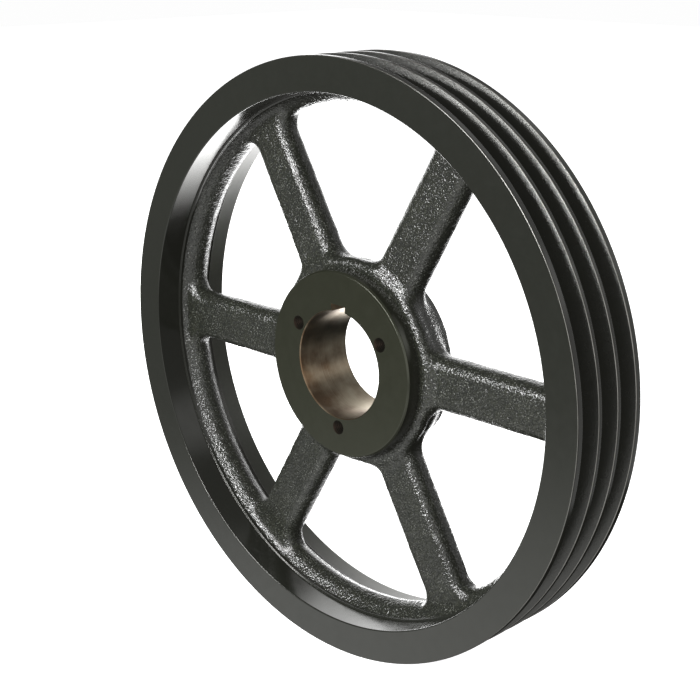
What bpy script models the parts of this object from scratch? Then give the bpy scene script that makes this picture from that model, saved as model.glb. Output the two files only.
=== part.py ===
"""Three-groove V-belt pulley: a grooved rim carried on six arms by a hub bored for a tapered bushing.

Metres. The wheel turns about Y, the hub's tapped face looks towards -Y and the keyway is at +Z.
The real wheel is one iron casting. Each of its regions is a solid of its own here, set CLEARANCE
apart from its neighbours.
"""

import math

import bmesh
import bpy
from mathutils import Matrix

CLEARANCE = 0.0003
CUT_OVERSHOOT = 0.004
# A trimmer's facets are pushed out this much, so that a sloping facet keeps the clearance too
TRIM_CLEARANCE = 1.2 * CLEARANCE

# Overall sizes
OUTER_RADIUS = 0.20765
RIM_WIDTH = 0.0635

# Belt grooves, cut into the outside of the rim
GROOVE_COUNT = 3
GROOVE_PITCH = 0.3 * RIM_WIDTH
GROOVE_TOP_WIDTH = 0.85 * GROOVE_PITCH
GROOVE_DEPTH = 0.0145
GROOVE_HALF_ANGLE = math.radians(19.0)
EDGE_CHAMFER = 0.0006

# Rim body: a machined band, with a rough rib standing inwards from it where the arms land
RIM_DEPTH = 0.02345
BAND_BORE_RADIUS = OUTER_RADIUS - RIM_DEPTH
GROOVE_FLOOR_RADIUS = OUTER_RADIUS - GROOVE_DEPTH
RIB_HEIGHT = 0.0100
RIB_CREST_RADIUS = BAND_BORE_RADIUS - RIB_HEIGHT
RIB_HALF_WIDTH = 0.0135
RIB_CREST_HALF_WIDTH = 0.0034
RIB_CREST_ROUNDING = 0.0006
RIB_KNEE_HEIGHT = 0.65 * RIB_HEIGHT
RIB_KNEE_HALF_WIDTH = 0.008
RIB_SHOULDER = 0.0013

# Arms
ARM_COUNT = 6
ARM_PITCH_ANGLE = 2.0 * math.pi / ARM_COUNT
ARM_PLANE_Y = 0.0026
ARM_WIDTH_AT_HUB = 0.0372
ARM_WIDTH_AT_RIM = 0.0350
ARM_THICKNESS = 0.0188
ARM_CORNER_RADIUS = 0.0085
ARM_CORNER_POINTS = 4
ARM_RIM_FILLET = 0.0115
ARM_FACE_FLARE = 0.28
FLARE_STATIONS = 4
FLARE_CROWDING = 1.6

# Hub
HUB_FRONT_Y = -0.02035
HUB_REAR_Y = 0.0237
HUB_END_RADIUS = 0.0653
HUB_BELLY_RADIUS = HUB_END_RADIUS + 0.0047
HUB_SHOULDER_Y = -0.0095
HUB_SHOULDER_RUN = 0.0025
HUB_SHOULDER_RADIUS = HUB_END_RADIUS + 0.0035
HUB_EDGE_CHAMFER = 0.0012
HUB_REAR_ROUNDING = 0.0018
ARM_ROOT_FILLET = (ARM_PITCH_ANGLE * HUB_BELLY_RADIUS - ARM_WIDTH_AT_HUB) / 3.0

# Tapered bore, its keyway and the tapped holes that draw the bushing in
BORE_FRONT_RADIUS = 0.0378
BORE_TAPER = 1.0 / 32.0
BORE_REAR_RADIUS = BORE_FRONT_RADIUS - BORE_TAPER * (HUB_REAR_Y - HUB_FRONT_Y)
BORE_CHAMFER = 0.0006
KEYWAY_WIDTH = 0.0129
KEYWAY_DEPTH = 0.0044
TAPPED_HOLE_COUNT = 3
TAPPED_HOLE_RADIUS = 0.0041
TAPPED_HOLE_MOUTH_RADIUS = 0.0046
TAPPED_HOLE_CIRCLE_RADIUS = BORE_FRONT_RADIUS + 0.0071

# Facets round each turned piece
RIM_STEPS = 72
HUB_STEPS = 60
HOLE_STEPS = 16

# Painted iron, and the bare machined iron of the bore
MACHINED_PAINT = ((0.035, 0.038, 0.033, 1.0), 0.38, 0.0)
GROOVE_PAINT = ((0.018, 0.019, 0.018, 1.0), 0.34, 0.0)
CAST_PAINT = ((0.028, 0.031, 0.025, 1.0), 0.30, 0.0)
HUB_PAINT = ((0.036, 0.040, 0.030, 1.0), 0.36, 0.0)


def clear_scene():
    for old in list(bpy.data.objects):
        bpy.data.objects.remove(old, do_unlink=True)


def new_collection(name):
    made = bpy.data.collections.new(name)
    bpy.context.scene.collection.children.link(made)
    return made


def new_material(name, look):
    colour, roughness, metallic = look
    made = bpy.data.materials.new(name)
    made.use_nodes = True
    shader = made.node_tree.nodes["Principled BSDF"]
    shader.inputs["Base Color"].default_value = colour
    shader.inputs["Roughness"].default_value = roughness
    shader.inputs["Metallic"].default_value = metallic
    made.diffuse_color = colour
    return made


def new_object(name, mesh, collection, parent=None, look=None):
    made = bpy.data.objects.new(name, mesh)
    collection.objects.link(made)
    made.parent = parent
    if look:
        mesh.materials.append(new_material(name, look))
    for face in mesh.polygons:
        face.use_smooth = True
    return made


def as_cutter(obj):
    obj.hide_render = True
    obj.display_type = "WIRE"
    return obj


def outward(outline):
    """The outline in the order that makes its turned surface face out of the material."""
    following = outline[1:] + outline[:1]
    doubled_area = sum(a[0] * b[1] - b[0] * a[1] for a, b in zip(outline, following))
    return outline if doubled_area < 0.0 else outline[::-1]


def turned(name, outline, steps, collection, parent=None, look=None):
    """A closed outline of (radius, y) points turned once about the Y axis."""
    mesh = bpy.data.meshes.new(name)
    points = [(radius, y, 0.0) for radius, y in outward(outline)]
    edges = [(i, (i + 1) % len(points)) for i in range(len(points))]
    mesh.from_pydata(points, edges, [])
    made = new_object(name, mesh, collection, parent, look)
    screw = made.modifiers.new("turn", "SCREW")
    screw.axis = "Y"
    screw.angle = 2.0 * math.pi
    screw.steps = steps
    screw.render_steps = steps
    screw.use_merge_vertices = True
    screw.merge_threshold = 1e-6
    return made


def cut(obj, cutter):
    boolean = obj.modifiers.new("cut_" + cutter.name, "BOOLEAN")
    boolean.operation = "DIFFERENCE"
    boolean.solver = "EXACT"
    boolean.object = cutter


# Outlines, each a list of (radius, y) points


def groove_centres():
    middle = (GROOVE_COUNT - 1) / 2.0
    return [(i - middle) * GROOVE_PITCH for i in range(GROOVE_COUNT)]


def groove_half_width(radius):
    return GROOVE_TOP_WIDTH / 2.0 - (OUTER_RADIUS - radius) * math.tan(GROOVE_HALF_ANGLE)


def land_outline(inner_y, outer_y, bevel_inner, bevel_outer):
    """The outline of one wall between or beside grooves, given its y limits as functions of radius."""
    foot = GROOVE_FLOOR_RADIUS + CLEARANCE
    top = OUTER_RADIUS
    shoulder = top - EDGE_CHAMFER
    return [
        (foot, inner_y(foot)),
        (shoulder, inner_y(shoulder)),
        (top, inner_y(shoulder) + bevel_inner),
        (top, outer_y(shoulder) - bevel_outer),
        (shoulder, outer_y(shoulder)),
        (foot, outer_y(foot)),
    ]


def front_flange_outline():
    first = groove_centres()[0]
    return land_outline(
        lambda radius: -RIM_WIDTH / 2.0,
        lambda radius: first - groove_half_width(radius),
        EDGE_CHAMFER,
        EDGE_CHAMFER / 2.0,
    )


def rear_flange_outline():
    last = groove_centres()[-1]
    return land_outline(
        lambda radius: last + groove_half_width(radius),
        lambda radius: RIM_WIDTH / 2.0,
        EDGE_CHAMFER / 2.0,
        EDGE_CHAMFER,
    )


def divider_outline(index):
    before, after = groove_centres()[index : index + 2]
    return land_outline(
        lambda radius: before + groove_half_width(radius),
        lambda radius: after - groove_half_width(radius),
        EDGE_CHAMFER / 2.0,
        EDGE_CHAMFER / 2.0,
    )


def rim_band_outline():
    half = RIM_WIDTH / 2.0
    bore = BAND_BORE_RADIUS
    return [
        (bore, -half + EDGE_CHAMFER),
        (bore + EDGE_CHAMFER, -half),
        (GROOVE_FLOOR_RADIUS, -half),
        (GROOVE_FLOOR_RADIUS, half),
        (bore + EDGE_CHAMFER, half),
        (bore, half - EDGE_CHAMFER),
    ]


def rib_flanks():
    """The rib's inward side as (radius, y) from front to rear, shared by the rib and the arms' cutter."""
    half = [
        (RIB_CREST_RADIUS + RIB_CREST_ROUNDING, RIB_CREST_HALF_WIDTH),
        (BAND_BORE_RADIUS - RIB_KNEE_HEIGHT, RIB_KNEE_HALF_WIDTH),
        (BAND_BORE_RADIUS - RIB_SHOULDER, RIB_HALF_WIDTH),
    ]
    front = [(radius, ARM_PLANE_Y - offset) for radius, offset in reversed(half)]
    rear = [(radius, ARM_PLANE_Y + offset) for radius, offset in half]
    return front + [(RIB_CREST_RADIUS, ARM_PLANE_Y)] + rear


def rib_outline():
    outer = BAND_BORE_RADIUS - CLEARANCE
    flanks = rib_flanks()
    return [(outer, flanks[-1][1])] + flanks[::-1] + [(outer, flanks[0][1])]


def rib_clearance_outline():
    """The rib grown by the clearance, and far enough outwards to trim the arms' outer ends."""
    beyond = OUTER_RADIUS
    grown = [(radius - TRIM_CLEARANCE, y) for radius, y in rib_flanks()]
    front = (grown[0][0], grown[0][1] - CUT_OVERSHOOT)
    rear = (grown[-1][0], grown[-1][1] + CUT_OVERSHOOT)
    return [(beyond, rear[1]), rear] + grown[::-1] + [front, (beyond, front[1])]


def hub_side():
    """The hub's outside as (radius, y) from front to rear: machined boss, then the rough body."""
    end = HUB_END_RADIUS
    return [
        (end - HUB_EDGE_CHAMFER, HUB_FRONT_Y),
        (end, HUB_FRONT_Y + HUB_EDGE_CHAMFER),
        (end, HUB_SHOULDER_Y),
        (HUB_SHOULDER_RADIUS, HUB_SHOULDER_Y + HUB_SHOULDER_RUN),
        (HUB_BELLY_RADIUS, ARM_PLANE_Y),
        (end + HUB_REAR_ROUNDING / 3.0, HUB_REAR_Y - HUB_REAR_ROUNDING),
        (end - HUB_REAR_ROUNDING / 2.0, HUB_REAR_Y),
    ]


def hub_outline():
    front, rear = BORE_FRONT_RADIUS, BORE_REAR_RADIUS
    bore = [
        (rear + BORE_CHAMFER, HUB_REAR_Y),
        (rear, HUB_REAR_Y - BORE_CHAMFER),
        (front, HUB_FRONT_Y + BORE_CHAMFER),
        (front + BORE_CHAMFER, HUB_FRONT_Y),
    ]
    return bore + hub_side()


def hub_clearance_outline():
    """The hub grown by the clearance, used to trim the arms' inner ends."""
    inside = BORE_REAR_RADIUS / 2.0
    grown = [(radius + TRIM_CLEARANCE, y) for radius, y in hub_side()]
    front = (grown[0][0], HUB_FRONT_Y - CUT_OVERSHOOT)
    rear = (grown[-1][0], HUB_REAR_Y + CUT_OVERSHOOT)
    return [(inside, front[1]), front] + grown + [rear, (inside, rear[1])]


# Arms


def fillet_growth(distance, fillet):
    """How far a fillet stands out of a flank at this distance from the surface it runs into."""
    inside = min(max(fillet - distance, 0.0), fillet)
    return fillet - math.sqrt(fillet * fillet - inside * inside)


def arm_stations():
    """Distances from the axis at which the arm's section is drawn."""
    root, tip = HUB_BELLY_RADIUS, RIB_CREST_RADIUS
    steps = [(i / FLARE_STATIONS) ** FLARE_CROWDING for i in range(FLARE_STATIONS + 1)]
    inner = [root + ARM_ROOT_FILLET * step for step in steps]
    outer = [tip - ARM_RIM_FILLET * step for step in steps]
    buried_root = HUB_END_RADIUS - 2.0 * HUB_EDGE_CHAMFER
    buried_tip = BAND_BORE_RADIUS
    return [buried_root] + inner + outer[::-1] + [buried_tip]


def arm_half_sizes(radius):
    """Half the arm's width and half its thickness at this distance from the axis."""
    root, tip = HUB_BELLY_RADIUS, RIB_CREST_RADIUS
    along = (radius - root) / (tip - root)
    width = ARM_WIDTH_AT_HUB + (ARM_WIDTH_AT_RIM - ARM_WIDTH_AT_HUB) * along
    growth = fillet_growth(radius - root, ARM_ROOT_FILLET)
    growth += fillet_growth(tip - radius, ARM_RIM_FILLET)
    return width / 2.0 + growth, ARM_THICKNESS / 2.0 + ARM_FACE_FLARE * growth


def arm_section(radius):
    """The arm's rounded oblong section, as (across, y) points."""
    half_width, half_thickness = arm_half_sizes(radius)
    corner = ARM_CORNER_RADIUS
    points = []
    for quarter in range(4):
        turn = quarter * math.pi / 2.0
        side_x = 1.0 if quarter in (0, 3) else -1.0
        side_y = 1.0 if quarter in (0, 1) else -1.0
        for i in range(ARM_CORNER_POINTS):
            angle = turn + i * math.pi / 2.0 / (ARM_CORNER_POINTS - 1)
            across = side_x * (half_width - corner) + corner * math.cos(angle)
            y = side_y * (half_thickness - corner) + corner * math.sin(angle)
            points.append((across, y))
    return points


def arm_mesh(name):
    """One arm standing up +Z, lofted from the hub to the rib and left long at both ends."""
    shape = bmesh.new()
    rings = []
    for radius in arm_stations():
        ring = [shape.verts.new((x, y + ARM_PLANE_Y, radius)) for x, y in arm_section(radius)]
        rings.append(ring)
    count = len(rings[0])
    for low, high in zip(rings, rings[1:]):
        for i in range(count):
            j = (i + 1) % count
            shape.faces.new((low[i], low[j], high[j], high[i]))
    shape.faces.new(rings[0][::-1])
    shape.faces.new(rings[-1])
    bmesh.ops.recalc_face_normals(shape, faces=shape.faces)
    mesh = bpy.data.meshes.new(name)
    shape.to_mesh(mesh)
    shape.free()
    return mesh


def arm_angle(index):
    """Turn about Y of each arm from the keyway, the first one half a pitch before it."""
    return (index - 0.5) * ARM_PITCH_ANGLE


def add_arms(collection, parent, trimmers):
    for index in range(ARM_COUNT):
        name = f"arm_{index + 1}"
        arm = new_object(name, arm_mesh(name), collection, parent, CAST_PAINT)
        arm.rotation_euler = (0.0, arm_angle(index), 0.0)
        for trimmer in trimmers:
            cut(arm, trimmer)


# Hub


def keyway_cutter(collection):
    """A box that cuts the keyway along the whole bore at +Z, square to the axis."""
    height = KEYWAY_DEPTH + BORE_FRONT_RADIUS / 2.0
    length = HUB_REAR_Y - HUB_FRONT_Y + 2.0 * CUT_OVERSHOOT
    shape = bmesh.new()
    bmesh.ops.create_cube(shape, size=1.0)
    bmesh.ops.transform(
        shape, matrix=Matrix.Diagonal((KEYWAY_WIDTH, length, height, 1.0)), verts=shape.verts
    )
    mesh = bpy.data.meshes.new("keyway_cutter")
    shape.to_mesh(mesh)
    shape.free()
    cutter = as_cutter(new_object("keyway_cutter", mesh, collection))
    top = BORE_FRONT_RADIUS + KEYWAY_DEPTH
    cutter.location = (0.0, (HUB_FRONT_Y + HUB_REAR_Y) / 2.0, top - height / 2.0)
    return cutter


def tapped_hole_cutter(name, angle, collection):
    """A through hole with a countersunk mouth, its axis along Y on the bolt circle."""
    front = HUB_FRONT_Y - CUT_OVERSHOOT
    rear = HUB_REAR_Y + CUT_OVERSHOOT
    sink = TAPPED_HOLE_MOUTH_RADIUS - TAPPED_HOLE_RADIUS
    rings = (
        (TAPPED_HOLE_MOUTH_RADIUS, front),
        (TAPPED_HOLE_MOUTH_RADIUS, HUB_FRONT_Y),
        (TAPPED_HOLE_RADIUS, HUB_FRONT_Y + sink),
        (TAPPED_HOLE_RADIUS, rear),
    )
    shape = bmesh.new()
    loops = []
    for radius, y in rings:
        spin = [2.0 * math.pi * i / HOLE_STEPS for i in range(HOLE_STEPS)]
        loops.append(
            [shape.verts.new((radius * math.cos(a), y, radius * math.sin(a))) for a in spin]
        )
    for low, high in zip(loops, loops[1:]):
        for i in range(HOLE_STEPS):
            j = (i + 1) % HOLE_STEPS
            shape.faces.new((low[i], low[j], high[j], high[i]))
    shape.faces.new(loops[0])
    shape.faces.new(loops[-1])
    bmesh.ops.recalc_face_normals(shape, faces=shape.faces)
    mesh = bpy.data.meshes.new(name)
    shape.to_mesh(mesh)
    shape.free()
    cutter = as_cutter(new_object(name, mesh, collection))
    reach = TAPPED_HOLE_CIRCLE_RADIUS
    cutter.location = (reach * math.sin(angle), 0.0, reach * math.cos(angle))
    return cutter


def add_hub(collection, parent, cutters):
    hub = turned("hub", hub_outline(), HUB_STEPS, collection, parent, HUB_PAINT)
    cut(hub, keyway_cutter(cutters))
    for index in range(TAPPED_HOLE_COUNT):
        angle = (index + 0.5) * 2.0 * math.pi / TAPPED_HOLE_COUNT
        cut(hub, tapped_hole_cutter(f"tapped_hole_cutter_{index + 1}", angle, cutters))


# Rim


def add_rim(collection, parent):
    turned("rim_band", rim_band_outline(), RIM_STEPS, collection, parent, MACHINED_PAINT)
    turned("rim_rib", rib_outline(), RIM_STEPS, collection, parent, CAST_PAINT)
    turned("front_flange", front_flange_outline(), RIM_STEPS, collection, parent, MACHINED_PAINT)
    turned("rear_flange", rear_flange_outline(), RIM_STEPS, collection, parent, MACHINED_PAINT)
    for index in range(GROOVE_COUNT - 1):
        name = f"groove_divider_{index + 1}"
        turned(name, divider_outline(index), RIM_STEPS, collection, parent, GROOVE_PAINT)


def build():
    clear_scene()
    pulley = new_collection("v_belt_pulley")
    cutters = new_collection("v_belt_pulley_cutters")
    axis = bpy.data.objects.new("wheel_axis", None)
    pulley.objects.link(axis)
    hub_trimmer = as_cutter(turned("hub_trimmer", hub_clearance_outline(), HUB_STEPS, cutters))
    rib_trimmer = as_cutter(turned("rib_trimmer", rib_clearance_outline(), RIM_STEPS, cutters))
    add_hub(pulley, axis, cutters)
    add_arms(pulley, axis, (hub_trimmer, rib_trimmer))
    add_rim(pulley, axis)
    bpy.context.view_layer.update()


build()
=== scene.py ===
"""Looks for the V-belt pulley: one painted iron casting, turned on its rim, hub faces and bore."""

import math

import bmesh
import bpy
import numpy as np
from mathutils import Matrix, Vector, noise


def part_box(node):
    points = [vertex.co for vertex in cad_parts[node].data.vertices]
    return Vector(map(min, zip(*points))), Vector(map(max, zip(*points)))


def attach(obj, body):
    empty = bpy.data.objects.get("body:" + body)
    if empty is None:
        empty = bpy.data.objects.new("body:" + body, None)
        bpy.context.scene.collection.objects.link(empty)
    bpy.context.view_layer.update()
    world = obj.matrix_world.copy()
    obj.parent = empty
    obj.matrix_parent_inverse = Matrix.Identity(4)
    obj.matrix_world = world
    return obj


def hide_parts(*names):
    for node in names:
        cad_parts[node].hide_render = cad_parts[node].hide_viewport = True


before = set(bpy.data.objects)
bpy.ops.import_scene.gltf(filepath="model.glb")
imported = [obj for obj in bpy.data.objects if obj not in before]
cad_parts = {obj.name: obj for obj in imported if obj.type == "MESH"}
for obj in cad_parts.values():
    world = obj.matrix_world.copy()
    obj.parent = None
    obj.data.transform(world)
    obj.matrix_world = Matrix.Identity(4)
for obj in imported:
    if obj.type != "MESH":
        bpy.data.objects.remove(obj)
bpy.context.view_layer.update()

MM = 0.001


def half_span(node, axis):
    low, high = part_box(node)
    return (high[axis] - low[axis]) / 2.0


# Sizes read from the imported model, in metres
OUTER_RADIUS = half_span("front_flange", 0)
RIM_HALF_WIDTH = half_span("rim_band", 1)
GROOVE_FLOOR_RADIUS = half_span("rim_band", 0)
BAND_RADIUS = half_span("rim_rib", 0) + 0.3 * MM
HUB_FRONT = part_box("hub")[0][1]
HUB_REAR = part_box("hub")[1][1]
HUB_BELLY_RADIUS = half_span("hub", 0)
ARM_PLANE = (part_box("rim_rib")[0][1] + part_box("rim_rib")[1][1]) / 2.0
RIB_HALF_WIDTH = half_span("rim_rib", 1)
FLOOR_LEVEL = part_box("front_flange")[0][2]

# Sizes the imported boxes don't show
GROOVE_PITCH = 0.6 * RIM_HALF_WIDTH
GROOVE_TOP_HALF_WIDTH = 0.425 * GROOVE_PITCH
GROOVE_HALF_ANGLE = math.radians(19.0)
RIB_CREST_RADIUS = BAND_RADIUS - 10.0 * MM
RIB_KNEE_RADIUS = BAND_RADIUS - 5.9 * MM
RIB_SHOULDER = 1.3 * MM
RIB_KNEE_HALF_WIDTH = 8.0 * MM
RIB_CREST_HALF_WIDTH = 2.6 * MM
LAND_ROUNDING = 0.7 * MM
# A face on a land's edge is worn bare where this share of its normal points outwards
WORN_FROM, WORN_TO = 0.35, 0.93
GROOVE_FLOOR_ROUNDING = 0.9 * MM
HUB_END_RADIUS = 65.3 * MM
HUB_SHOULDER = -9.5 * MM
HUB_NECK_RADIUS = 68.9 * MM
HUB_TAIL_RADIUS = 65.6 * MM
HUB_EDGE_BREAK = 1.2 * MM
RIDGE_RADIUS = 68.6 * MM
RIDGE_SETBACK = 4.0 * MM
RIDGE_SIZE = 3.6 * MM
BORE_FRONT_RADIUS = 37.8 * MM
BORE_REAR_RADIUS = 36.42 * MM
BORE_EDGE_BREAK = 0.6 * MM
KEYWAY_WIDTH = 12.9 * MM
KEYWAY_DEPTH = 4.4 * MM
HOLE_CIRCLE_RADIUS = 44.9 * MM
HOLE_RADIUS = 4.1 * MM
HOLE_COUNTERSINK = 0.9 * MM
THREAD_PITCH = 25.4 / 16.0 * MM
THREAD_DEPTH = 0.55 * MM
ARM_HALF_WIDTHS = (18.6 * MM, 17.5 * MM)
ARM_HALF_THICKNESS = 9.4 * MM
ARM_CORNER = 8.5 * MM
RIM_FILLET = 12.5 * MM
HUB_FILLET = 11.5 * MM

# How far the casting runs, unseen, into the turned pieces
OVERLAP_WITH_RIM = 3.0 * MM
CASTING_BORE_RADIUS = 58.0 * MM

RIM_SEGMENTS = 360
HUB_SEGMENTS = 240
VOXEL = 1.25 * MM


# ---------------------------------------------------------------- materials


class Shader:
    """A material's node tree, with one Principled shader and helpers that add nodes to it."""

    def __init__(self, name, colour, roughness, metallic=0.0):
        self.material = bpy.data.materials.new(name)
        self.material.use_nodes = True
        self.tree = self.material.node_tree
        self.principled = self.tree.nodes["Principled BSDF"]
        self.principled.inputs["Metallic"].default_value = metallic
        self.principled.inputs["Roughness"].default_value = roughness
        self.principled.inputs["Base Color"].default_value = (*colour, 1.0)
        self.place = self.add("ShaderNodeTexCoord").outputs["Object"]

    def add(self, kind, links=(), **values):
        made = self.tree.nodes.new(kind)
        for key, value in values.items():
            if key.startswith("in_"):
                made.inputs[key[3:].replace("_", " ")].default_value = value
            else:
                setattr(made, key, value)
        for socket, source in dict(links).items():
            self.tree.links.new(source, made.inputs[socket])
        return made

    def noise(self, scale, detail=2.0, roughness=0.5, place=None):
        made = self.add("ShaderNodeTexNoise", {"Vector": place or self.place})
        made.inputs["Scale"].default_value = scale
        made.inputs["Detail"].default_value = detail
        made.inputs["Roughness"].default_value = roughness
        return made.outputs["Fac"]

    def ramp(self, source, low, high, out_low, out_high):
        made = self.add("ShaderNodeMapRange", {"Value": source})
        for key, value in zip(("From Min", "From Max", "To Min", "To Max"), (low, high, out_low, out_high)):
            made.inputs[key].default_value = value
        return made.outputs["Result"]

    def math(self, operation, first, second):
        made = self.add("ShaderNodeMath", operation=operation)
        for i, value in enumerate((first, second)):
            if isinstance(value, (int, float)):
                made.inputs[i].default_value = value
            else:
                self.tree.links.new(value, made.inputs[i])
        return made.outputs[0]

    def mix(self, factor, first, second):
        made = self.add("ShaderNodeMix", data_type="RGBA")
        for key, value in (("A", first), ("B", second)):
            socket = next(s for s in made.inputs if s.name == key and s.type == "RGBA")
            if isinstance(value, tuple):
                socket.default_value = (*value, 1.0)
            else:
                self.tree.links.new(value, socket)
        self.tree.links.new(factor, made.inputs["Factor"])
        return next(s for s in made.outputs if s.type == "RGBA")

    def rings(self, pitch):
        """Coordinates that are the same all round the wheel, so a pattern on them reads as turning marks."""
        flat = self.add("ShaderNodeVectorMath", {0: self.place}, operation="MULTIPLY")
        flat.inputs[1].default_value = (1.0, 0.0, 1.0)
        length = self.add("ShaderNodeVectorMath", {0: flat.outputs[0]}, operation="LENGTH")
        axial = self.add("ShaderNodeSeparateXYZ", {0: self.place}).outputs["Y"]
        made = self.add("ShaderNodeCombineXYZ")
        self.tree.links.new(self.math("MULTIPLY", length.outputs["Value"], 1.0 / pitch), made.inputs["X"])
        self.tree.links.new(self.math("MULTIPLY", axial, 1.0 / pitch), made.inputs["Y"])
        return made.outputs[0]

    def bump(self, height, distance, strength=1.0, below=None):
        made = self.add("ShaderNodeBump", {"Height": height})
        made.inputs["Distance"].default_value = distance
        made.inputs["Strength"].default_value = strength
        if below is not None:
            self.tree.links.new(below, made.inputs["Normal"])
        return made.outputs["Normal"]

    def feed(self, socket, source):
        self.tree.links.new(source, self.principled.inputs[socket])


def turned_paint(name, dark, light, roughness, peel, depth, tint=(1.0, 1.0, 0.96)):
    """Satin enamel over turned iron: faint turning marks, orange peel and a little uneven gloss."""
    shader = Shader(name, dark, roughness)
    shader.principled.inputs["Specular Tint"].default_value = (*tint, 1.0)
    broad = shader.ramp(shader.noise(9.0, 2.0), 0.3, 0.7, 0.0, 0.5)
    fine = shader.ramp(shader.noise(380.0, 2.0), 0.3, 0.7, 0.0, 0.5)
    shader.feed("Base Color", shader.mix(shader.math("ADD", broad, fine), dark, light))
    gloss = shader.ramp(shader.noise(130.0, 3.0), 0.3, 0.7, roughness - 0.02, roughness + 0.03)
    shader.feed("Roughness", gloss)
    marks = shader.noise(1.0, 2.0, place=shader.rings(0.9 * MM))
    lathe = shader.bump(marks, 0.003 * MM, 0.7)
    shader.feed("Normal", shader.bump(shader.noise(peel, 2.0), depth, 0.8, lathe))
    return shader.material


def cast_paint(name):
    """Glossy enamel over sand-cast iron: pebbles, painted shade darkening the hollows between them, and small
    pale specks that are painted glints.
    """
    shader = Shader(name, (0.012, 0.013, 0.0095), 0.16)
    pebbles = shader.noise(640.0, 1.5, 0.5)
    grit = shader.add("ShaderNodeTexVoronoi", {"Vector": shader.place}, feature="SMOOTH_F1")
    grit.inputs["Scale"].default_value = 1150.0
    grit.inputs["Smoothness"].default_value = 0.4
    broad = shader.ramp(shader.noise(22.0, 4.0), 0.35, 0.65, 0.0, 1.0)
    # Painted shade: the hollows between pebbles are darkened in the base colour, where shade would fall.
    hollow_shade = shader.ramp(pebbles, 0.38, 0.6, 0.0, 1.0)
    base = shader.mix(broad, (0.011, 0.012, 0.0088), (0.017, 0.0185, 0.013))
    skin = shader.mix(hollow_shade, (0.005, 0.006, 0.0045), base)
    # Painted glints: pale specks in the base colour stand in for pebble tips catching the lamps; the casting
    # has no such pale colour.
    specks = shader.ramp(shader.noise(900.0, 1.0), 0.58, 0.68, 0.0, 1.0)
    glint_patches = shader.ramp(shader.noise(120.0, 2.0), 0.42, 0.62, 0.25, 1.0)
    painted_glints = shader.math("MULTIPLY", specks, glint_patches)
    shader.feed("Base Color", shader.mix(painted_glints, skin, (0.085, 0.088, 0.078)))
    shader.feed("Roughness", shader.ramp(pebbles, 0.35, 0.65, 0.24, 0.11))
    lumps = shader.bump(shader.noise(230.0, 1.0), 0.24 * MM, 1.0)
    grain = shader.bump(pebbles, 0.50 * MM, 1.0, lumps)
    shader.feed("Normal", shader.bump(grit.outputs["Distance"], 0.16 * MM, 1.0, grain))
    return shader.material


def bare_iron(name, dark, light, roughness):
    """Bare turned iron, darker towards the front and paler towards the rear, its tool marks running round the
    axis.
    """
    shader = Shader(name, dark, roughness, metallic=1.0)
    stain = shader.noise(55.0, 3.0, 0.55)
    marks = shader.noise(1.0, 3.0, place=shader.rings(0.45 * MM))
    axial = shader.add("ShaderNodeSeparateXYZ", {0: shader.place}).outputs["Y"]
    blotches = shader.ramp(stain, 0.35, 0.65, -0.3, 0.3)
    front_to_rear = shader.ramp(axial, HUB_FRONT, HUB_REAR, 0.15, 0.65)
    tone = shader.math("ADD", blotches, front_to_rear)
    tone = shader.math("ADD", tone, shader.ramp(marks, 0.3, 0.7, -0.12, 0.12))
    tone = shader.ramp(tone, 0.0, 1.0, 0.0, 1.0)
    shader.feed("Base Color", shader.mix(tone, dark, light))
    shader.feed("Roughness", shader.ramp(stain, 0.3, 0.7, roughness - 0.04, roughness + 0.06))
    shader.feed("Normal", shader.bump(marks, 0.012 * MM, 1.0))
    return shader.material


def white_stage(name, glow):
    shader = Shader(name, (0.85, 0.85, 0.85), 0.9)
    tone = shader.ramp(shader.noise(3.0, 2.0), 0.2, 0.8, 0.83, 0.87)
    shader.feed("Base Color", tone)
    shader.principled.inputs["Emission Color"].default_value = (1.0, 1.0, 1.0, 1.0)
    shader.principled.inputs["Emission Strength"].default_value = glow
    return shader.material


def glowing_patch(name, radiance, *fades):
    """A brightly lit sheet that the wheel reflects, at full strength before each (axis, full, gone) fade."""
    shader = Shader(name, (0.0, 0.0, 0.0), 1.0)
    axes = shader.add("ShaderNodeSeparateXYZ", {0: shader.place})
    shape = radiance
    for axis, full, gone in fades:
        shape = shader.math("MULTIPLY", shader.ramp(axes.outputs[axis], full, gone, 1.0, 0.0), shape)
    shader.principled.inputs["Emission Color"].default_value = (1.0, 1.0, 1.0, 1.0)
    shader.feed("Emission Strength", shape)
    return shader.material


# ---------------------------------------------------------------- meshes


def linked(name, mesh, *materials):
    for material in materials:
        mesh.materials.append(material)
    mesh.polygons.foreach_set("use_smooth", [True] * len(mesh.polygons))
    made = bpy.data.objects.new(name, mesh)
    bpy.context.scene.collection.objects.link(made)
    return made


def rounded(outline):
    """A closed (radius, y, rounding) outline with arcs for corners, each held by a point on either side."""
    points = []
    count = len(outline)
    for i, (px, py, size) in enumerate(outline):
        here = Vector((px, py))
        before = Vector(outline[i - 1][:2]) - here
        after = Vector(outline[(i + 1) % count][:2]) - here
        if size <= 0.0:
            points.append(here)
            continue
        opening = before.angle(after)
        reach = size / math.tan(opening / 2.0)
        start, end = here + before.normalized() * reach, here + after.normalized() * reach
        inward = (before.normalized() + after.normalized()).normalized()
        middle = here + inward * (size / math.sin(opening / 2.0))
        hold = 0.25 * size
        steps = 4
        points.append(start + before.normalized() * hold)
        first, last = start - middle, end - middle
        turn = first.angle(last)
        for step in range(steps + 1):
            share = step / steps
            arm = (first * math.sin((1 - share) * turn) + last * math.sin(share * turn)) / math.sin(turn)
            points.append(middle + arm)
        points.append(end + after.normalized() * hold)
    return [(p.x, p.y) for p in points]


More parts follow.
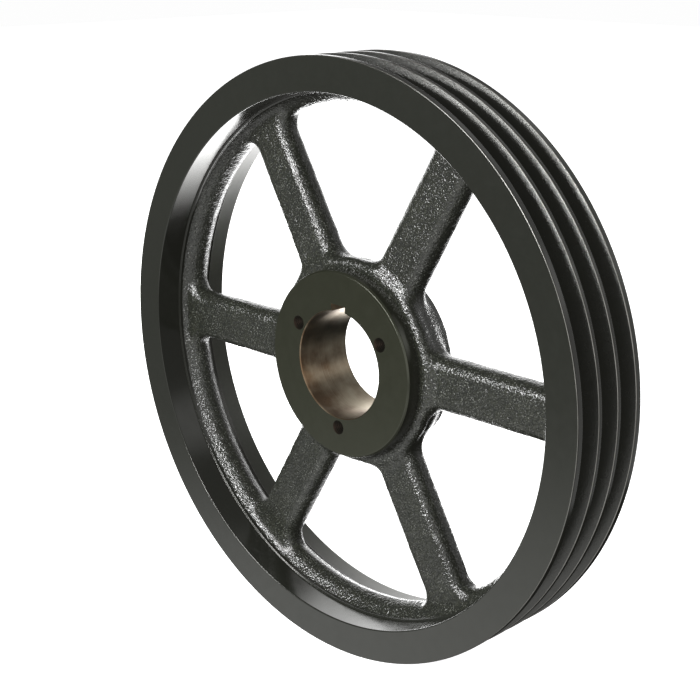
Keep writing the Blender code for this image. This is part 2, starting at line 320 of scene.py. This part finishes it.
def turned_mesh(name, outline, segments):
    """A closed outline of (radius, y) turned about the Y axis, listed anticlockwise in (radius, y)."""
    outline = np.array(outline)
    count = len(outline)
    spin = np.arange(segments) * 2.0 * math.pi / segments
    x = np.outer(np.sin(spin), outline[:, 0])
    z = np.outer(np.cos(spin), outline[:, 0])
    y = np.repeat(outline[None, :, 1], segments, axis=0)
    points = np.stack([x, y, z], axis=-1).reshape(-1, 3)
    i, j = np.meshgrid(np.arange(segments), np.arange(count), indexing="ij")
    ni, nj = (i + 1) % segments, (j + 1) % count
    quads = np.stack([i * count + j, ni * count + j, ni * count + nj, i * count + nj], axis=-1).reshape(-1, 4)
    mesh = bpy.data.meshes.new(name)
    mesh.from_pydata(points.tolist(), [], quads.tolist())
    mesh.validate()
    return mesh


def groove_half_width(radius):
    return GROOVE_TOP_HALF_WIDTH - (OUTER_RADIUS - radius) * math.tan(GROOVE_HALF_ANGLE)


def rim_outline():
    """The turned rim, anticlockwise from the front face's inner edge, as (radius, y, rounding)."""
    half = RIM_HALF_WIDTH
    edge, land, floor = LAND_ROUNDING, LAND_ROUNDING, GROOVE_FLOOR_ROUNDING
    step_front = ARM_PLANE - RIB_HALF_WIDTH - 1.0 * MM
    step_rear = ARM_PLANE + RIB_HALF_WIDTH + 1.0 * MM
    outline = [(BAND_RADIUS, -half, edge), (OUTER_RADIUS, -half, edge)]
    for index in (-1, 0, 1):
        centre = index * GROOVE_PITCH
        top, bottom = groove_half_width(OUTER_RADIUS), groove_half_width(GROOVE_FLOOR_RADIUS)
        outline += [
            (OUTER_RADIUS, centre - top, land),
            (GROOVE_FLOOR_RADIUS, centre - bottom, floor),
            (GROOVE_FLOOR_RADIUS, centre + bottom, floor),
            (OUTER_RADIUS, centre + top, land),
        ]
    outline += [(OUTER_RADIUS, half, edge), (BAND_RADIUS, half, edge)]
    lip = BAND_RADIUS - RIB_SHOULDER
    outline += [
        (BAND_RADIUS, step_rear + 0.3 * MM, 0.25 * MM),
        (lip, step_rear, 0.35 * MM),
        (lip, step_front, 0.35 * MM),
        (BAND_RADIUS, step_front - 0.3 * MM, 0.25 * MM),
    ]
    return outline


def make_rim(paint, groove_paint, band_paint_with_painted_light, edge_iron):
    mesh = turned_mesh("rim_turned", rounded(rim_outline()), RIM_SEGMENTS)
    rim = linked("rim_turned", mesh, paint, groove_paint, band_paint_with_painted_light, edge_iron)
    paint_slot, groove_slot, band_slot, edge_slot = range(4)
    for face in mesh.polygons:
        reach = math.hypot(face.center.x, face.center.z)
        within = GROOVE_FLOOR_RADIUS - 1.0 * MM < reach < OUTER_RADIUS - 0.2 * MM
        between = abs(face.center.y) < GROOVE_PITCH + GROOVE_TOP_HALF_WIDTH
        on_rear_band = reach < BAND_RADIUS + 0.2 * MM and face.center.y > ARM_PLANE + RIB_HALF_WIDTH
        painted = groove_slot if within and between else paint_slot
        face.material_index = band_slot if on_rear_band else painted
        outward = (face.normal.x * face.center.x + face.normal.z * face.center.z) / reach
        if reach > OUTER_RADIUS - LAND_ROUNDING and WORN_FROM < outward < WORN_TO:
            face.material_index = edge_slot
    return rim


# ------------------------------------------------- the rough casting, as a field


def round_union(a, b, radius):
    """The union of two solids given by signed distance, with a fillet of this radius between them."""
    near = np.hypot(np.maximum(radius - a, 0.0), np.maximum(radius - b, 0.0))
    return np.maximum(radius, np.minimum(a, b)) - near


def round_meet(a, b, radius):
    """The overlap of two solids given by signed distance, with its edge rounded."""
    near = np.hypot(np.maximum(radius + a, 0.0), np.maximum(radius + b, 0.0))
    return np.minimum(-radius, np.maximum(a, b)) + near


def slope(y, radius, start, end):
    """Signed distance past a line from start to end in the (y, radius) plane, positive on its left."""
    (y0, r0), (y1, r1) = start, end
    length = math.hypot(y1 - y0, r1 - r0)
    return ((y1 - y0) * (radius - r0) - (r1 - r0) * (y - y0)) / length


def casting_field(x, y, z):
    """Signed distance to the hub's rough body, the six arms and the rib; negative inside."""
    radius = np.hypot(x, z)
    angle = np.arctan2(x, z)
    pitch = math.pi / 3.0
    folded = np.mod(angle, pitch) - pitch / 2.0
    along, across = radius * np.cos(folded), radius * np.sin(folded)
    away = y - ARM_PLANE
    share = np.clip((along - HUB_BELLY_RADIUS) / (RIB_CREST_RADIUS - HUB_BELLY_RADIUS), 0.0, 1.0)
    half_width = ARM_HALF_WIDTHS[0] + (ARM_HALF_WIDTHS[1] - ARM_HALF_WIDTHS[0]) * share
    plan = round_union(np.abs(across) - half_width, RIB_CREST_RADIUS + 1.0 * MM - radius, RIM_FILLET)
    plan = round_union(plan, radius - HUB_BELLY_RADIUS, HUB_FILLET)
    side = plan + ARM_CORNER
    face = np.abs(away) - (ARM_HALF_THICKNESS - ARM_CORNER)
    web = np.minimum(np.maximum(side, face), 0.0) + np.hypot(np.maximum(side, 0.0), np.maximum(face, 0.0))
    web = np.maximum(web - ARM_CORNER, radius - BAND_RADIUS - OVERLAP_WITH_RIM)

    lip = (HUB_SHOULDER, HUB_NECK_RADIUS)
    belly = (ARM_PLANE, HUB_BELLY_RADIUS)
    tail = (HUB_REAR, HUB_TAIL_RADIUS)
    hub = round_meet(slope(y, radius, lip, belly), slope(y, radius, belly, tail), 6.0 * MM)
    hub = round_meet(hub, np.maximum(HUB_SHOULDER + 1.6 * MM - y, y - HUB_REAR + 0.8 * MM), 1.7 * MM)
    ridge = np.hypot(radius - RIDGE_RADIUS, y - HUB_SHOULDER - RIDGE_SETBACK) - RIDGE_SIZE
    hub = round_union(hub, ridge, 3.0 * MM)

    foot = (RIB_HALF_WIDTH, BAND_RADIUS - RIB_SHOULDER)
    knee = (RIB_KNEE_HALF_WIDTH, RIB_KNEE_RADIUS)
    crest = (RIB_CREST_HALF_WIDTH, RIB_CREST_RADIUS + 0.5 * MM)
    reach = np.abs(away)
    rib = round_meet(-slope(reach, radius, crest, knee), -slope(reach, radius, knee, foot), 4.0 * MM)
    rib = round_meet(rib, RIB_CREST_RADIUS - radius, 3.0 * MM)
    foot_end = reach - RIB_HALF_WIDTH - 0.8 * MM
    rib = np.maximum(rib, np.maximum(foot_end, radius - BAND_RADIUS - OVERLAP_WITH_RIM))

    whole = round_union(web, hub, 7.0 * MM)
    whole = round_union(whole, rib, 3.0 * MM)
    return np.maximum(whole, CASTING_BORE_RADIUS - radius)


CORNERS = [(i, j, k) for i in (0, 1) for j in (0, 1) for k in (0, 1)]
EDGES = [(a, b) for a in range(8) for b in range(a + 1, 8) if bin(a ^ b).count("1") == 1]


def net_points(field):
    """(cells that the surface crosses, the surface's point in each), in grid steps."""
    inside = field < 0.0
    across, deep, up = (count - 1 for count in inside.shape)
    total = sum(inside[i : across + i, j : deep + j, k : up + k].astype(np.int8) for i, j, k in CORNERS)
    cells = np.argwhere((total > 0) & (total < 8))
    values = np.stack([field[tuple((cells + corner).T)] for corner in CORNERS], axis=1)
    moved = np.zeros((len(cells), 3))
    crossed = np.zeros(len(cells))
    for a, b in EDGES:
        hit = (values[:, a] < 0.0) != (values[:, b] < 0.0)
        gap = np.where(hit, values[:, a] - values[:, b], 1.0)
        share = np.where(hit, values[:, a] / gap, 0.0)[:, None]
        start, end = np.array(CORNERS[a], float), np.array(CORNERS[b], float)
        moved += hit[:, None] * (start + (end - start) * share)
        crossed += hit
    return cells, cells + moved / crossed[:, None]


def net_faces(field, cells):
    """Quads between the cells round each grid edge that the surface crosses, facing out."""
    inside = field < 0.0
    index = np.full([n - 1 for n in field.shape], -1, np.int64)
    index[tuple(cells.T)] = np.arange(len(cells))
    quads = []
    for axis in range(3):
        u, v = (axis + 1) % 3, (axis + 2) % 3
        low = [slice(None)] * 3
        high = [slice(None)] * 3
        low[axis], high[axis] = slice(0, -1), slice(1, None)
        first, second = inside[tuple(low)], inside[tuple(high)]
        edges = np.argwhere(first != second)
        edges = edges[(edges[:, u] > 0) & (edges[:, v] > 0)]
        step_u, step_v = np.eye(3, dtype=np.int64)[u], np.eye(3, dtype=np.int64)[v]
        ring = [edges - step_u - step_v, edges - step_v, edges, edges - step_u]
        quad = np.stack([index[tuple(cell.T)] for cell in ring], axis=1)
        leaving = first[tuple(edges.T)]
        quad[~leaving] = quad[~leaving][:, ::-1]
        quads.append(quad)
    return np.concatenate(quads)


def roughen(points, normals):
    """Moves each point along its normal as sand-cast skin is uneven: slow waves, lumps and grains."""
    waves = ((90.0, 0.22), (310.0, 0.13), (640.0, 0.10))
    moved = points.copy()
    for i, (point, normal) in enumerate(zip(points, normals)):
        here = Vector(point)
        rise = sum(noise.noise(here * scale) * height for scale, height in waves)
        moved[i] = point + normal * (rise * MM)
    return moved


def make_casting(paint):
    reach = BAND_RADIUS + 6.0 * MM
    low = np.array([-reach, ARM_PLANE - RIB_HALF_WIDTH - 4.0 * MM, -reach])
    high = np.array([reach, HUB_REAR + 4.0 * MM, reach])
    lines = [np.arange(low[a], high[a] + VOXEL, VOXEL) for a in range(3)]
    x, y, z = np.meshgrid(*lines, indexing="ij", sparse=True)
    field = casting_field(x, y, z)
    cells, spots = net_points(field)
    quads = net_faces(field, cells)
    points = spots * VOXEL + low
    gradient = np.stack(
        [
            casting_field(*(points + 0.1 * MM * axis).T) - casting_field(*(points - 0.1 * MM * axis).T)
            for axis in np.eye(3)
        ],
        axis=1,
    )
    normals = gradient / np.maximum(np.linalg.norm(gradient, axis=1, keepdims=True), 1e-12)
    points = points - normals * np.clip(casting_field(*points.T), -0.4 * VOXEL, 0.4 * VOXEL)[:, None]
    points = roughen(points, normals)
    mesh = bpy.data.meshes.new("casting")
    mesh.from_pydata(points.tolist(), [], quads.tolist())
    mesh.validate()
    return linked("casting", mesh, paint)


# ---------------------------------------------------------------- hub


def hub_outline():
    """The turned hub, anticlockwise from the bore's front edge, as (radius, y, rounding)."""
    buried = HUB_END_RADIUS - 0.4 * MM
    return [
        (BORE_FRONT_RADIUS, HUB_FRONT + BORE_EDGE_BREAK, 0.0),
        (BORE_FRONT_RADIUS + BORE_EDGE_BREAK, HUB_FRONT, 0.0),
        (HUB_END_RADIUS - HUB_EDGE_BREAK, HUB_FRONT, 0.5 * MM),
        (HUB_END_RADIUS, HUB_FRONT + HUB_EDGE_BREAK, 0.5 * MM),
        (HUB_END_RADIUS, HUB_SHOULDER + 5.0 * MM, 0.0),
        (buried, HUB_SHOULDER + 6.0 * MM, 0.0),
        (buried, HUB_REAR - 0.8 * MM, 0.0),
        (HUB_END_RADIUS - HUB_EDGE_BREAK, HUB_REAR, 0.0),
        (BORE_REAR_RADIUS + BORE_EDGE_BREAK, HUB_REAR, 0.0),
        (BORE_REAR_RADIUS, HUB_REAR - BORE_EDGE_BREAK, 0.0),
    ]


def subtract(obj, cutter):
    boolean = obj.modifiers.new(cutter.name, "BOOLEAN")
    boolean.operation = "DIFFERENCE"
    boolean.solver = "EXACT"
    boolean.object = cutter


def applied(obj):
    """The object's mesh with its modifiers applied, and the slivers they leave merged."""
    graph = bpy.context.evaluated_depsgraph_get()
    mesh = bpy.data.meshes.new_from_object(obj.evaluated_get(graph), depsgraph=graph)
    old = obj.data
    obj.modifiers.clear()
    obj.data = mesh
    bpy.data.meshes.remove(old)
    shape = bmesh.new()
    shape.from_mesh(mesh)
    bmesh.ops.remove_doubles(shape, verts=shape.verts, dist=0.004 * MM)
    shape.to_mesh(mesh)
    shape.free()


def block(name, low, high):
    shape = bmesh.new()
    bmesh.ops.create_cube(shape, size=1.0)
    for vertex in shape.verts:
        for a in range(3):
            vertex.co[a] = low[a] if vertex.co[a] < 0.0 else high[a]
    mesh = bpy.data.meshes.new(name)
    shape.to_mesh(mesh)
    shape.free()
    return linked(name, mesh)


def thread_cutter(name, centre):
    """A 16 to the inch tapped hole as a cutter: a countersunk mouth and ringed thread grooves."""
    pitch, mouth = THREAD_PITCH, HOLE_RADIUS + HOLE_COUNTERSINK
    rings = [(mouth, HUB_FRONT - 2.0 * MM), (mouth, HUB_FRONT)]
    y = HUB_FRONT + HOLE_COUNTERSINK
    rings.append((HOLE_RADIUS, y))
    while y + pitch < HUB_REAR + 1.0 * MM:
        rings += [(HOLE_RADIUS, y + 0.1 * pitch), (HOLE_RADIUS + THREAD_DEPTH, y + 0.55 * pitch)]
        y += pitch
        rings.append((HOLE_RADIUS, y))
    rings.append((HOLE_RADIUS, HUB_REAR + 3.0 * MM))
    steps = 32
    shape = bmesh.new()
    # Turned off the wheel's own radial lines, so that no two edges coincide
    spin = [2.0 * math.pi * (s + 0.37) / steps for s in range(steps)]
    loops = []
    for radius, height in rings:
        around = [(centre[0] + radius * math.cos(a), height, centre[1] + radius * math.sin(a)) for a in spin]
        loops.append([shape.verts.new(spot) for spot in around])
    for low, high in zip(loops, loops[1:]):
        for s in range(steps):
            t = (s + 1) % steps
            shape.faces.new((low[s], low[t], high[t], high[s]))
    shape.faces.new(loops[0])
    shape.faces.new(loops[-1])
    bmesh.ops.recalc_face_normals(shape, faces=shape.faces)
    mesh = bpy.data.meshes.new(name)
    shape.to_mesh(mesh)
    shape.free()
    return linked(name, mesh)


def make_hub(paint, bore_iron, shaded_thread_iron):
    mesh = turned_mesh("hub_turned", rounded(hub_outline()), HUB_SEGMENTS)
    hub = linked("hub_turned", mesh, paint, bore_iron, shaded_thread_iron)
    half, slot_top = KEYWAY_WIDTH / 2.0, BORE_FRONT_RADIUS + KEYWAY_DEPTH
    paint_slot, bore_slot, thread_slot = range(3)
    cutters = [
        block(
            "keyway_cutter",
            (-half, HUB_FRONT - 5.0 * MM, 20.0 * MM),
            (half, HUB_REAR + 5.0 * MM, slot_top),
        )
    ]
    for turn in (60.0, 180.0, 300.0):
        angle = math.radians(turn)
        centre = (HOLE_CIRCLE_RADIUS * math.sin(angle), HOLE_CIRCLE_RADIUS * math.cos(angle))
        cutters.append(thread_cutter(f"thread_cutter_{turn:.0f}", centre))
    for cutter in cutters:
        subtract(hub, cutter)
    applied(hub)
    for cutter in cutters:
        bpy.data.objects.remove(cutter, do_unlink=True)
    for face in hub.data.polygons:
        middle = face.center
        radius = math.hypot(middle.x, middle.z)
        on_end = abs(face.normal.y) > 0.95
        in_slot = abs(middle.x) < half + 0.1 * MM and 0.0 < middle.z < slot_top + 0.1 * MM
        if on_end or radius > 55.0 * MM:
            face.material_index = paint_slot
        elif radius < BORE_FRONT_RADIUS + 0.7 * MM or in_slot:
            face.material_index = bore_slot
        else:
            face.material_index = thread_slot
        face.use_smooth = True
    hub.data.set_sharp_from_angle(angle=math.radians(24.0))
    return hub


# ---------------------------------------------------------------- build

machined = turned_paint(
    "machined_paint", (0.0066, 0.0074, 0.0056), (0.0090, 0.0099, 0.0076), 0.16, 1100.0, 0.006 * MM
)
# Painted light: the rear band's base colour is paler than the rest of the rim's, standing in for light the
# band catches; its paint is also rougher.
band_paint_with_painted_light = turned_paint("band_paint_with_painted_light", (0.026, 0.028, 0.021), (0.040, 0.042, 0.033), 0.32, 900.0, 0.02 * MM)
groove_paint = turned_paint(
    "groove_paint", (0.0060, 0.0065, 0.0060), (0.0090, 0.0095, 0.0090), 0.26, 1300.0, 0.13 * MM
)
hub_paint = turned_paint(
    "hub_paint",
    (0.0072, 0.0080, 0.0040),
    (0.0095, 0.0105, 0.0052),
    0.22,
    900.0,
    0.012 * MM,
    (0.97, 1.0, 0.85),
)
rough = cast_paint("cast_paint")
bore_iron = bare_iron("bore_iron", (0.13, 0.080, 0.045), (0.42, 0.37, 0.275), 0.31)
edge_iron = bare_iron("edge_iron", (0.20, 0.195, 0.18), (0.34, 0.33, 0.31), 0.32)
# Painted shade: the iron in the tapped holes is made far darker than the bore's iron, for the shade inside
# the holes.
shaded_thread_iron = bare_iron("shaded_thread_iron", (0.012, 0.007, 0.005), (0.055, 0.036, 0.028), 0.3)

rim = make_rim(machined, groove_paint, band_paint_with_painted_light, edge_iron)
casting = make_casting(rough)
hub = make_hub(hub_paint, bore_iron, shaded_thread_iron)

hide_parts("rim_band", "front_flange", "rear_flange", "groove_divider_1", "groove_divider_2")
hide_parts("rim_rib", "arm_1", "arm_2", "arm_3", "arm_4", "arm_5", "arm_6")
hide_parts("hub")
for piece in (rim, casting, hub):
    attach(piece, "root")

# ---------------------------------------------------------------- studio


def sheet(name, corners, material):
    mesh = bpy.data.meshes.new(name)
    mesh.from_pydata(corners, [], [tuple(range(len(corners)))])
    made = linked(name, mesh, material)
    return made


def softbox(name, place, target, size, power):
    light = bpy.data.lights.new(name, "AREA")
    light.shape = "RECTANGLE"
    light.size, light.size_y = size
    light.energy = power
    made = bpy.data.objects.new(name, light)
    made.location = place
    made.rotation_euler = (Vector(target) - Vector(place)).to_track_quat("-Z", "Y").to_euler()
    bpy.context.scene.collection.objects.link(made)


class Sky:
    """The room as the wheel reflects it: soft panels on dark walls. The camera itself sees plain white."""

    def __init__(self, dim):
        self.world = bpy.data.worlds.new("studio")
        self.world.use_nodes = True
        self.tree = self.world.node_tree
        self.place = self.tree.nodes.new("ShaderNodeTexCoord").outputs["Generated"]
        parts = self.tree.nodes.new("ShaderNodeSeparateXYZ")
        self.tree.links.new(self.place, parts.inputs[0])
        self.axes = dict(zip("xyz", parts.outputs))
        self.total = self.math("ADD", dim, 0.0)

    def math(self, operation, first, second):
        made = self.tree.nodes.new("ShaderNodeMath")
        made.operation = operation
        for i, value in enumerate((first, second)):
            if isinstance(value, (int, float)):
                made.inputs[i].default_value = value
            else:
                self.tree.links.new(value, made.inputs[i])
        return made.outputs[0]

    def fade(self, source, start, end):
        """0 before start and 1 after end, with a smooth change between."""
        made = self.tree.nodes.new("ShaderNodeMapRange")
        made.interpolation_type = "SMOOTHSTEP"
        made.inputs["From Min"].default_value = start
        made.inputs["From Max"].default_value = end
        self.tree.links.new(source, made.inputs["Value"])
        return made.outputs["Result"]

    def panel(self, radiance, *limits):
        """A panel seen where every (axis, start, end) limit holds."""
        shape = radiance
        for axis, start, end in limits:
            shape = self.math("MULTIPLY", self.fade(self.axes[axis], start, end), shape)
        self.total = self.math("ADD", self.total, shape)

    def spot(self, radiance, direction, inner, outer):
        """A round soft lamp, with the angles in degrees at which it is full and gone."""
        made = self.tree.nodes.new("ShaderNodeVectorMath")
        made.operation = "DOT_PRODUCT"
        made.inputs[1].default_value = Vector(direction).normalized()
        self.tree.links.new(self.place, made.inputs[0])
        near, far = math.cos(math.radians(inner)), math.cos(math.radians(outer))
        shape = self.math("MULTIPLY", self.fade(made.outputs["Value"], far, near), radiance)
        self.total = self.math("ADD", self.total, shape)

    def close(self):
        seen = self.tree.nodes.new("ShaderNodeLightPath").outputs["Is Camera Ray"]
        room = self.tree.nodes["Background"]
        self.tree.links.new(self.total, room.inputs["Strength"])
        room.inputs["Color"].default_value = (1.0, 1.0, 1.0, 1.0)
        plain = self.tree.nodes.new("ShaderNodeBackground")
        plain.inputs["Color"].default_value = (0.985, 0.985, 0.985, 1.0)
        mix = self.tree.nodes.new("ShaderNodeMixShader")
        self.tree.links.new(seen, mix.inputs[0])
        self.tree.links.new(room.outputs[0], mix.inputs[1])
        self.tree.links.new(plain.outputs[0], mix.inputs[2])
        self.tree.links.new(mix.outputs[0], self.tree.nodes["World Output"].inputs["Surface"])
        bpy.context.scene.world = self.world


FLOOR_WHITENESS = 0.97
floor_z = FLOOR_LEVEL - 0.4 * MM
floor = sheet(
    "floor",
    [(-6.0, -6.0, floor_z), (6.0, -6.0, floor_z), (6.0, 6.0, floor_z), (-6.0, 6.0, floor_z)],
    white_stage("floor_white", FLOOR_WHITENESS),
)
floor.visible_glossy = False
floor.visible_diffuse = False

glow_z = floor_z - MM
reflected = [
    sheet(
        "floor_glow",
        [(x, y, glow_z) for x, y in ((-4.0, -0.06), (-0.22, -0.06), (0.3, 0.06), (0.3, 5.0), (-4.0, 5.0))],
        glowing_patch("floor_glow", 10.0, ("X", -0.20, -0.045), ("Y", 0.04, -0.06)),
    ),
    sheet(
        "board_glow",
        [(-3.0, 0.5, -0.2), (-3.0, 0.5, 0.45), (-0.1, 0.5, 0.45), (-0.1, 0.5, -0.2)],
        glowing_patch("board_glow", 3.0, ("X", -0.25, -0.1), ("Z", 0.30, 0.42)),
    ),
]
for made in reflected:
    made.visible_camera = False
    made.visible_shadow = False

sky = Sky(0.16)
sky.panel(0.05, ("y", -0.1, -0.4))
sky.panel(0.12, ("y", -0.45, -0.75), ("x", -0.50, -0.25))
sky.panel(1.15, ("y", -0.38, -0.6), ("z", -0.32, -0.46))
sky.panel(0.25, ("y", 0.0, 0.3), ("x", 0.2, 0.0), ("z", 0.5, 0.7))
sky.spot(0.9, (0.65, 0.67, 0.37), 5.0, 15.0)
sky.panel(0.40, ("y", 0.68, 0.76), ("x", -0.35, -0.1))
sky.spot(1.4, (0.60, -0.72, 0.10), 8.0, 30.0)
sky.close()
view = bpy.context.scene.view_settings
view.view_transform = "Standard"
view.use_curve_mapping = True
view.curve_mapping.black_level = (-0.008, -0.008, -0.0065)
view.curve_mapping.update()
softbox("key", (-0.02, -1.9, 0.58), (0.0, 0.0, 0.0), (0.55, 0.45), 38.0)
softbox("side", (-0.66, -1.80, 0.70), (0.0, 0.0, 0.0), (0.55, 0.5), 38.0)

# ---------------------------------------------------------------- camera

CAMERA_PLACE = (0.6413, -0.6488, 0.2826)
CAMERA_DIRECTION = (-0.6775, 0.6761, -0.2897)
CAMERA_LENS = 71.15

camera_data = bpy.data.cameras.new("camera")
camera_data.sensor_width = 36.0
camera_data.lens = CAMERA_LENS
camera_data.clip_start = 0.01
camera_data.clip_end = 50.0
camera = bpy.data.objects.new("camera", camera_data)
camera.location = CAMERA_PLACE
camera.rotation_euler = Vector(CAMERA_DIRECTION).to_track_quat("-Z", "Y").to_euler()
bpy.context.scene.collection.objects.link(camera)
bpy.context.scene.camera = camera
